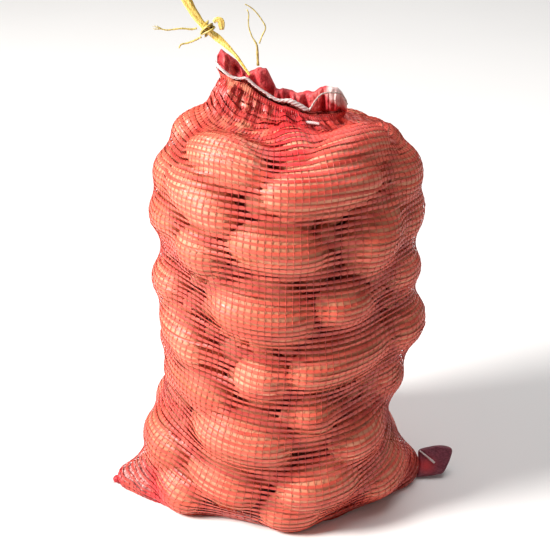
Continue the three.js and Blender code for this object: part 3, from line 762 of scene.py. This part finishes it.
def set_reds(piece, points):
    """The net's deeper red, its painted shade over the gaps between potatoes, and the orange that shows at
    the left of the neck.
    """
    x, y, z = np.moveaxis(points, -1, 0)
    over = over_potato(points.mean(-2))
    mark(piece, "over", np.repeat(over[..., None], points.shape[-2], -1))
    mark(piece, "deep", depth_of_red(points))
    mark(piece, "patchy", np.exp(-((x + 38) / 28) ** 2) * smooth_step(z, 405, 425) * (y < 20))


def slow_wander(rows, columns, size):
    """Rows of smooth noise round the sack: seeded knots every few columns, joined by cosine steps."""
    knots = rng.normal(0, 1, (rows, columns // size))
    place = np.arange(columns) / size
    low = place.astype(int) % knots.shape[1]
    share = (1 - np.cos(np.pi * (place % 1))) / 2
    return knots[:, low] * (1 - share) + knots[:, (low + 1) % knots.shape[1]] * share


def lens_ring(centre, side, rise, width, thickness):
    """Four points round a thread: its two edges and the tops of its two faces."""
    width, thickness = width[..., None] / 2, thickness[..., None] / 2
    return np.stack([centre + side * width, centre + rise * thickness,
                     centre - side * width, centre - rise * thickness], -2)


def thread_uv(count, along):
    """Each thread's own strip of the map: where its edges lie across it, and how far along they are."""
    along = np.broadcast_to(along[None, :, None], (count, len(along), 4))
    spread = (np.arange(count)[:, None, None] + np.array([0.05, 0.35, 0.65, 0.95])[None, None]) / count
    return np.broadcast_to(spread, along.shape), along


def join_threads(name, ring, faces, uv, tone, material, smooth):
    """One piece of many threads, with the faces of one thread repeated for each of them."""
    starts = (ring.shape[1] * 4 * np.arange(len(ring)))[:, None, None]
    piece = make_piece(name, ring.reshape(-1, 3) * MM, [(faces + starts).reshape(-1, 4)], material,
                       np.stack(uv, -1).reshape(-1, 2), tone, smooth)
    set_reds(piece, ring)
    return finish_piece(piece, "net", "net_bag")


def make_wefts(surface, material, name, tapes):
    """Flat tapes round the sack, one for every second row, pinched where a warp thread crosses."""
    rows = 2 * tapes + 1
    along, outward = surface_frame(surface)[1:]
    count, columns = len(tapes), surface.shape[1]
    slip = slow_wander(count, columns, 24)[..., None] * 0.4
    centre = surface[rows] + along[rows] * slip
    crossing = (np.arange(columns) % CELL_STEPS == 0)[None, :]
    own_width = rng.uniform(0.84, 1.12, (count, 1)) * (1 + 0.08 * slow_wander(count, columns, 12))
    neck = np.exp(-((1 - rows / (surface.shape[0] - 1)) * NET_HEIGHT / 70) ** 2)[:, None]
    width = WEFT_WIDTH * own_width * np.where(crossing, 0.55 + 0.35 * neck, 1.0) * (1 + NECK_WIDENING * neck)
    thickness = np.full_like(width, WEFT_THICKNESS) * np.where(crossing, 1.4, 1.0)
    lean = 0.25 * slow_wander(count, columns, 16)[..., None]
    side = unit(along[rows] + outward[rows] * lean)
    rise = unit(outward[rows] - along[rows] * lean)
    ring = lens_ring(centre, side, rise, width, thickness)
    ring[..., 2] = np.maximum(ring[..., 2], THREADS_LOWEST)
    spread, turn = thread_uv(count, np.arange(columns) / columns)
    tone = np.clip(0.5 + 0.28 * rng.normal(0, 1, (count, 1)) + 0.12 * slow_wander(count, columns, 5), 0, 1)
    tone = np.repeat(tone[..., None], 4, -1)
    join_threads(name, ring, strip_faces(columns, 4, True, True), (turn, spread), tone, material, False)


def make_warps(surface, material, name, threads):
    """Twisted threads up the sack, one for every second column: the section turns a half turn a tape, flat
    and thick over each tape and on edge between them.
    """
    columns = CELL_STEPS * threads
    around, _, outward = surface_frame(surface)
    rows, count = surface.shape[0], len(threads)
    over = (np.arange(rows) % 2 == 1)[:, None]
    turn = np.where(over, 0.0, WARP_TURN * RAD)[..., None]
    centre = surface[:, columns] + outward[:, columns] * (np.where(over, 0.38, 0.05)[..., None])
    side = around[:, columns] * np.cos(turn) + outward[:, columns] * np.sin(turn)
    rise = outward[:, columns] * np.cos(turn) - around[:, columns] * np.sin(turn)
    width = WARP_WIDTH * rng.uniform(0.85, 1.15, (1, count)) * np.where(over, 1.0, 0.75)
    thickness = WARP_THICKNESS * np.where(over, 1.0, 1.5) * np.ones((1, count))
    ring = np.moveaxis(lens_ring(centre, side, rise, width, thickness), 1, 0)
    ring[..., 2] = np.maximum(ring[..., 2], THREADS_LOWEST)
    walls = strip_faces(rows, 4, False, True)
    end = 4 * (rows - 1)
    caps = np.array([[3, 2, 1, 0], [end, end + 1, end + 2, end + 3]])
    tone = np.repeat(np.clip(rng.normal(0.45, 0.25, count), 0, 1), rows * 4)
    join_threads(name, ring, np.concatenate([walls, caps]), thread_uv(count, np.arange(rows) / (rows - 1)),
                 tone, material, True)


def make_neck_folds(surface, material):
    """The net's inner folds behind the weave of the neck: the surface moved in by 2 mm and more where a fold
    dips, 1 mm thick, from NECK_REACH below the mouth up to it, where they turn in under the hem.
    """
    rows = surface.shape[0]
    first = rows - int(rows * NECK_REACH / NET_HEIGHT)
    part, outward = surface[first:, ::2], surface_frame(surface)[2][first:, ::2]
    count, columns = part.shape[:2]
    turn = 2 * np.pi * np.arange(columns)[None, :] / columns
    climb = np.linspace(0, 3, count)[:, None]
    folds = crumple(7 * np.cos(turn) + 0 * climb, 7 * np.sin(turn) + climb, 16, 0.3, 1.6)
    dip = 1.0 + 0.9 * (1 - folds) * smooth_step(climb, 0, 0.4) + 3.0 * (1 - smooth_step(climb, 0, 0.8))
    turned_in = unit(outward * [1, 1, 0]) * HEM_INSET * smooth_step(climb, 2.75, 3)[..., None]
    front = part - outward * dip[..., None] - turned_in
    back = front - outward
    points = np.concatenate([front, back[::-1]])
    # painted shade: the folds' tone is deep in their dips and paler on their ridges
    tone = np.concatenate([0.5 + 0.5 * folds] * 2)
    piece = make_piece("neck_folds", points.reshape(-1, 3) * MM,
                       [strip_faces(2 * count, columns, True, True)], material, tone=np.clip(tone, 0, 1))
    mark(piece, "patchy", np.concatenate([1 - smooth_step(climb, 2, 2.7) + 0 * folds] * 2))
    return finish_piece(piece, "net", "net_bag")


# ---- cords ----
def smooth_route(route, steps):
    """Catmull-Rom curve through the route's points, cut into even steps."""
    points = np.asarray(route, float)
    ends = np.concatenate([[2 * points[0] - points[1]], points, [2 * points[-1] - points[-2]]])
    t = np.linspace(0, 1, 24, endpoint=False)[:, None]
    parts = []
    for a, b, c, d in zip(ends[:-3], ends[1:-2], ends[2:-1], ends[3:]):
        parts.append(0.5 * (2 * b + (c - a) * t + (2 * a - 5 * b + 4 * c - d) * t ** 2
                            + (3 * b - a - 3 * c + d) * t ** 3))
    curve = np.concatenate(parts + [points[-1:]])
    run = np.concatenate([[0], np.cumsum(np.linalg.norm(np.diff(curve, axis=0), axis=1))])
    wanted = np.linspace(0, run[-1], steps)
    return np.stack([np.interp(wanted, run, curve[:, k]) for k in range(3)], -1)


def cord_frame(path, facing):
    """Unit vectors across the path, within the plane that faces that way and out of that plane."""
    along = unit(np.gradient(path, axis=0))
    across_way = unit(np.cross(np.broadcast_to(facing, along.shape), along))
    return across_way, unit(np.cross(along, across_way))


def make_cord(name, path, material, width, thickness, ridge=0.0, ridges=6, twist=0.0, sides=20,
              facing=(0, -1, 0)):
    """Tube round the path: at turn t and share s of its way the section is
    (w/2 cos t, h/2 sin t)(1 + ridge cos(ridges t + twist s)).

    width and thickness are numbers or one value a path point; each end is closed by a flat fan.
    """
    steps = len(path)
    wide_way, thick_way = cord_frame(path, facing)
    turn = 2 * np.pi * np.arange(sides) / sides
    run = np.arange(steps)[:, None] / steps
    swell = 1 + ridge * np.cos(ridges * turn[None] + twist * run)
    wide = np.broadcast_to(width, steps)[:, None] / 2 * np.cos(turn) * swell
    thick = np.broadcast_to(thickness, steps)[:, None] / 2 * np.sin(turn) * swell
    ring = path[:, None] + wide_way[:, None] * wide[..., None] + thick_way[:, None] * thick[..., None]
    points = np.concatenate([ring.reshape(-1, 3), path[:1], path[-1:]])
    return make_piece(name, points * MM, tube_faces(steps, sides), material)


# ---- mouth, tie and corner ----
def crumple(u, v, count, low, high):
    """Sum of count seeded waves over u and v with low..high turns a unit, about -1 to 1."""
    pitch = rng.uniform(low, high, count)
    way = rng.uniform(0, 2 * np.pi, count)
    start = rng.uniform(0, 2 * np.pi, count)
    wave = (u[..., None] * np.cos(way) + v[..., None] * np.sin(way)) * pitch * 2 * np.pi + start
    return np.cos(wave).sum(-1) / math.sqrt(count) / 1.4


def make_hem(material):
    """Doubled, pleated cloth round the mouth. At x and turn t its point is
    (x, 2 sin w - depth cos t, (low + high)/2 + (high - low)/2 sin t), where w runs through one pleat every
    17 mm and depth also carries sharper pleats and crumples; a hollow is pressed into its left flap.
    """
    steps, sides = 300, 56
    x = np.linspace(-66, 62, steps)[:, None]
    turn = (2 * np.pi * np.arange(sides) / sides)[None, :]
    low, high = look_up(MOUTH_LINE, x) - 2, look_up(HEM_CREST, x)
    wave = 2 * np.pi * x / HEM_PLEAT
    pleats = np.abs(np.sin(1.35 * wave + 0.8 * np.sin(0.4 * wave))) - 0.6
    folds = crumple(x / 14, np.sin(turn) * (high - low) / 30 + 0 * x, 12, 0.4, 2.2)
    hollow = np.exp(-((x - FLAP_HOLLOW[0]) / 7) ** 2 - ((np.sin(turn) - 0.2) / 0.5) ** 2) * (np.cos(turn) > 0)
    taper = smooth_step(x, -66.5, -58) * smooth_step(-x, -62.5, -52) * 0.75 + 0.25
    depth = (HEM_HALF_DEPTH + 1.2 * np.cos(2 * wave) + 1.6 * pleats + 1.3 * folds) * taper - 5.5 * hollow
    square = np.sign(np.cos(turn)) * np.abs(np.cos(turn)) ** 0.7
    y = 2 * np.sin(wave) - depth * square
    z = (low + high + (high - low) * np.sin(turn)) / 2 + 0.7 * folds * np.maximum(np.sin(turn), 0)
    ring = np.stack([np.broadcast_to(x, y.shape), y, z], -1)
    ends = ring[[0, -1]].mean(1)
    points = np.concatenate([ring.reshape(-1, 3), ends])
    # painted shade: darker in the pleats' hollows, in crumples and in the pressed hollow of the left flap
    tone = 0.55 + 0.3 * pleats * np.cos(turn) + 0.2 * folds - 0.75 * hollow + 0 * x
    # the pale right end is a whitish crumple, partly painted highlight on the net
    pale = smooth_step(x + 3 * folds, 38, 46) * smooth_step(np.sin(turn) + 0.5 * folds, -0.6, 0.2)
    piece = make_piece("mouth_hem_cloth", points * MM, tube_faces(steps, sides), material,
                       tone=np.append(np.clip(tone, 0, 1).ravel(), [0.4, 0.4]))
    mark(piece, "pale", np.append(np.broadcast_to(pale, y.shape).ravel(), [0.0, 0.5]))
    mark(piece, "patchy", np.ones(len(points)))
    return finish_piece(piece, "hem", "mouth_hem")


def make_string(material):
    """Plaited string threaded through the hem, with its loose end standing out lower down."""
    path = smooth_route(STRING_ROUTE, 260)
    width = np.interp(path[:, 0], [-70, -60, -20, 0, 6, 20, 26, 62], [2.4, 2.8, 2.4, 3.2, 4.8, 4.4, 1.9, 1.5])
    piece = make_cord("mouth_string", path, material, width, width * 0.85, 0.14, 3, 240)
    mark(piece, "soil", np.append(np.repeat(smooth_step(path[:, 0], 20, 32), 20), [0.0, 1.0]))
    finish_piece(piece, "string", "drawstring")
    low, high = [np.array(corner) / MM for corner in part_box("drawstring_end")]
    depth, rise = (low[1] + high[1]) / 2, (low[2] + high[2]) / 2
    slope = (high[1] - low[1] - STRING_DIAMETER) / 2
    path = smooth_route([[low[0] + 1, depth + slope, rise + 0.2], [(low[0] + high[0]) / 2, depth, rise + 0.4],
                         [high[0] - 1, depth - slope, rise - 0.3]], 40)
    piece = make_cord("mouth_string_end", path, material, np.linspace(3.2, 2.4, 40), 2.6, 0.14, 3, 40)
    finish_piece(piece, "string", "drawstring_end")


def frayed_end(name, path, material, fibres=9, reach=9.0, fan=2.6):
    """Thin fibres that fan out from the end of a raffia strip, as one piece: each leaves the strip near its
    end, bows a little and ends up to reach further on and fan to either side.
    """
    way = unit(path[-1] - path[-4])
    aside = unit(np.cross(way, [0, -1, 0]))
    parts = []
    for k in range(fibres):
        spread = (k / (fibres - 1) - 0.5) * 2 * fan
        far = path[-1] + way * reach * rng.uniform(0.55, 1.0) + aside * spread
        far += [0, rng.uniform(-1.2, 1.2), rng.uniform(-0.8, 0.8)]
        bend = (path[-3] + far) / 2 + aside * rng.uniform(-0.8, 0.8)
        fibre = smooth_route([path[-3], bend, far], 8)
        parts.append(make_cord(f"{name}{k}", fibre, material, np.linspace(0.7, 0.3, 8), 0.35, sides=5))
    with bpy.context.temp_override(active_object=parts[0], selected_editable_objects=parts, object=parts[0]):
        bpy.ops.object.join()
    parts[0].name = name
    return finish_piece(parts[0], "raffia")


def make_tie(material, thin_material):
    """The raffia: a broad twisted band with a loop at its top, a knot wound round it, a folded lobe, two
    tails and two thin strands.
    """
    route = smooth_route(BAND_ROUTE, BAND_STEPS)
    share = np.linspace(0, 1, BAND_STEPS)
    width = np.interp(share, [0, 0.12, 0.3, 0.42, 0.54, 0.6, 0.7, 0.82, 0.92, 1],
                      [2.2, 2.6, 4.6, 7.0, 6.2, 6.0, 8.0, 9.2, 9.2, 7.0])
    thick = np.interp(share, [0, 0.15, 0.5, 1], [1.6, 2.0, 3.2, 3.0])
    wobble = (0.4 * np.sin(23 * share) + 0.2 * np.sin(51 * share)) * smooth_step(share, 0.1, 0.3)
    band = make_cord("raffia_band", route, material, width + wobble, thick, 0.15, 5, 11, sides=40)
    way = unit(np.array(BAND_ROUTE[5]) - BAND_ROUTE[3])
    side = unit(np.cross(way, [0, 1, 0]))
    front = np.cross(side, way)
    middle = np.array(BAND_ROUTE[4], float)
    turn = np.linspace(0, 2 * np.pi * 2.6, 150)[:, None]
    reach = 4.9 + 1.3 * np.sin(turn / 5.2) + 0.5 * np.cos(3.1 * turn)
    coil = middle + side * reach * np.cos(turn) + front * reach * 0.8 * np.sin(turn)
    coil += way * ((turn / turn.max() - 0.5) * 8 + 1.4 * np.sin(turn * 1.3))
    knot = make_cord("raffia_knot", coil, thin_material, 4.2, 2.0, 0.18, 6, 20, sides=20, facing=way)
    finish_piece(knot, "raffia", "tie_knot")
    top = np.array(BAND_ROUTE[-1], float)
    centre = top + np.array([-0.43, 0, 0.9]) * (LOOP_RADIUS + 1.8)
    start = math.atan2(*(top - centre)[[2, 0]])
    angle = start + np.linspace(0, 2 * np.pi, 90)
    ring = centre + LOOP_RADIUS * np.stack([np.cos(angle), 0.06 * np.sin(2 * angle), np.sin(angle)], -1)
    loop = make_cord("raffia_loop", ring, material, 3.4, 1.7, 0.15, 5, 12, sides=16)
    finish_piece(loop, "raffia", "tie_loop")
    routes = {name: smooth_route(route, STRAND_STEPS) for name, route in STRAND_ROUTES.items()}
    share = np.linspace(0, 1, STRAND_STEPS)
    width = np.interp(share, [0, 0.3, 0.6, 1], [3.0, 5.0, 6.4, 4.0])
    lobe = make_cord("raffia_lobe", routes["tie_lobe"], material, width, 2.2, 0.2, 5, 6, sides=24)
    finish_piece(lobe, "raffia", "tie_lobe")
    fibres = frayed_end("raffia_tail_fibres", routes["tie_tail_upper"], thin_material)
    widths = {"tie_tail_upper": np.linspace(2.0, 1.3, STRAND_STEPS),
              "tie_tail_lower": np.linspace(2.2, 1.4, STRAND_STEPS),
              "tie_strand_left": np.interp(share, [0, 0.3, 0.5, 1], [2.6, 2.2, 1.3, 1.0]),
              "tie_strand_right": np.linspace(1.4, 1.0, STRAND_STEPS)}
    strips = {}
    for node, width in widths.items():
        strips[node] = make_cord(node.replace("tie", "raffia"), routes[node], thin_material, width,
                                 width * 0.75, 0.15, 4, 30, sides=12)
        finish_piece(strips[node], "raffia", node)
    finish_piece(band, "raffia", "tie_band")


def fold_point(u, v, w):
    """A point of the corner fold's own leaning plane, w in front of it."""
    lean = (90 - FOLD_LEAN) * RAD
    x, y, z = FOLD_PLACE
    return np.stack([x + u, y + v * math.cos(lean) - w * math.sin(lean),
                     z + v * math.sin(lean) + w * math.cos(lean)], -1)


def make_fold(material, string):
    """The bottom seam's end, folded over. It is a pad on the fold's outline: at share s from its middle to
    the outline each face stands off the plane at -2 by sqrt(1 - s^10) (2.2 + a rolled edge + wrinkles), so
    that both meet in a round rim.
    """
    spokes, rings = 120, 26
    outline = smooth_route([[u, v, 0] for u, v in FOLD_OUTLINE + FOLD_OUTLINE[:1]], spokes + 1)[:-1]
    middle = outline.mean(0)
    share = np.linspace(0, 1, rings + 1)[1:][:, None, None]
    flat = middle + (outline - middle)[None] * np.concatenate([share, share[::-1]])
    out = np.concatenate([share, share[::-1]])[..., 0]
    u, v = flat[..., 0], flat[..., 1]
    wrinkles = crumple(u / 30, v / 30, 9, 0.5, 2.6)
    rolled = np.exp(-((out - 0.86) / 0.07) ** 2)
    sign = np.where(np.arange(2 * rings) < rings, 1.0, -1.0)[:, None]
    rim = np.sqrt(np.clip(1 - out ** 10, 0, 1))
    w = -2 + sign * rim * (2.2 + 0.7 * rolled + 0.55 * wrinkles)
    ring = fold_point(u, v, w).reshape(-1, 3)
    poles = fold_point(middle[:1].repeat(2), middle[1:2].repeat(2), np.array([0.4, -4.2]))
    points = np.concatenate([ring, poles])
    points[:, 2] = np.maximum(points[:, 2], FOLD_LOWEST)
    faces = tube_faces(2 * rings, spokes)
    # painted light: a lit patch on the front face, which the fold's finish turns red
    lit = np.exp(-((u - 8) / 9) ** 2 - ((v - 12) / 8) ** 2) * (sign > 0)
    tone = np.append((lit + 0 * w).ravel(), [0.2, 0.0])
    piece = make_piece("corner_fold_cloth", points * MM, faces, material, tone=np.clip(tone, 0, 1))
    finish_piece(piece, "fold", "corner_fold")
    ends = np.array([[u, v] for u, v in STITCH_ENDS], float)
    u, v = np.linspace(ends[0], ends[1], 30).T
    path = fold_point(u, v, 1.5 + 0.5 * np.sin(np.linspace(0, np.pi, 30)))
    stitch = make_cord("corner_stitch_thread", path, string, np.linspace(1.5, 2.6, 30), 1.6, 0.14, 3, 40)
    finish_piece(stitch, "string", "corner_stitch")


# ---- stage, light and camera ----
def set_stage():
    floor = make_piece("floor", np.array([[-3, -3, 0], [3, -3, 0], [3, 3, 0], [-3, 3, 0]], float),
                       [np.array([[0, 1, 2, 3]])], floor_finish())
    world = bpy.data.worlds.new("studio")
    bpy.context.scene.world = world
    world.use_nodes = True
    world.node_tree.nodes["Background"].inputs["Color"].default_value = (1.0, 0.99, 0.98, 1)
    world.node_tree.nodes["Background"].inputs["Strength"].default_value = 0.17


def add_light(name, place, target, size, power, colour):
    data = bpy.data.lights.new(name, "AREA")
    data.shape = "DISK"
    data.size = size
    data.energy = power
    data.color = colour
    lamp = bpy.data.objects.new(name, data)
    bpy.context.scene.collection.objects.link(lamp)
    way = np.array(target) - np.array(place)
    lamp.location = place
    lamp.rotation_euler = (math.atan2(math.hypot(way[0], way[1]), -way[2]), 0, math.atan2(-way[0], way[1]))


def set_camera():
    data = bpy.data.cameras.new("viewer")
    data.sensor_width = 36
    data.lens = 36 * VIEW_FOCAL / PHOTO_SIZE
    data.clip_end = 20
    camera = bpy.data.objects.new("viewer", data)
    bpy.context.scene.collection.objects.link(camera)
    drop = VIEW_HEIGHT_ANGLE * RAD
    camera.location = (VIEW_TARGET[0], VIEW_TARGET[1] - VIEW_DISTANCE * math.cos(drop),
                       VIEW_TARGET[2] + VIEW_DISTANCE * math.sin(drop))
    camera.rotation_euler = (math.pi / 2 - drop, 0, 0)
    bpy.context.scene.camera = camera


set_camera()
white_string = string_finish()
make_tie(raffia_finish("yellow_raffia", (0.62, 0.36, 0.03), (0.95, 0.76, 0.22)),
         raffia_finish("olive_raffia", (0.32, 0.23, 0.04), (0.72, 0.58, 0.16)))
make_string(white_string)
hem_red = gathered_finish("hem_cloth", (0.38, 0.008, 0.014), (0.78, 0.07, 0.085), (0.88, 0.17, 0.15))
make_hem(hem_red)
make_fold(fold_finish(), white_string)
net = settled_net()
skin = potato_finish()
near_net = [(centre, axes, np.array(half) + NET_CLEARANCE - SKIN_TO_NET)
            for centre, axes, half in seen_potatoes]
finish_piece(make_lumps("potatoes", near_net, 27, 40, skin), "potato_skin", "net_bag")
core = fill_core(seen_potatoes, net)
finish_piece(make_lumps("potatoes_core", core, 10, 16, skin), "potato_skin", "net_bag")
gathered_net = gathered_finish("gathered_net", (0.50, 0.03, 0.025), (0.84, 0.15, 0.09), (0.84, 0.38, 0.18))
make_bunches(gathered_net)
ear_tip = (np.array(EAR_TIP[0], float), np.eye(3), EAR_TIP[1])
finish_piece(make_lumps("net_ear_tip", [ear_tip], 24, 30, hem_red, 0.15), "net", "net_bag")
net_red = net_finish("net_tape", (0.79, 0.128, 0.074), (0.61, 0.074, 0.045))
warp_red = net_finish("net_thread", (0.70, 0.10, 0.065), (0.54, 0.06, 0.04))
surface = weave_surface(net)
make_neck_folds(surface, gathered_net)
for half, name in ((0, "weft_tapes_lower"), (1, "weft_tapes_upper")):
    make_wefts(surface, net_red, name, np.arange(WEFT_TAPES // 2) + half * WEFT_TAPES // 2)
for half, name in ((0, "warp_threads_front"), (1, "warp_threads_back")):
    make_warps(surface, warp_red, name, np.arange(WARP_THREADS // 2) + half * WARP_THREADS // 2)

set_stage()
add_light("key", (-2.1, -0.72, 1.75), (0, 0, 0.25), 0.9, 141, (1.0, 0.965, 0.93))
add_light("top", (0.5, 0.8, 2.6), (0.3, 0.5, 0), 2.4, 40, (1.0, 1.0, 1.0))
bpy.context.scene.view_settings.view_transform = "Standard"
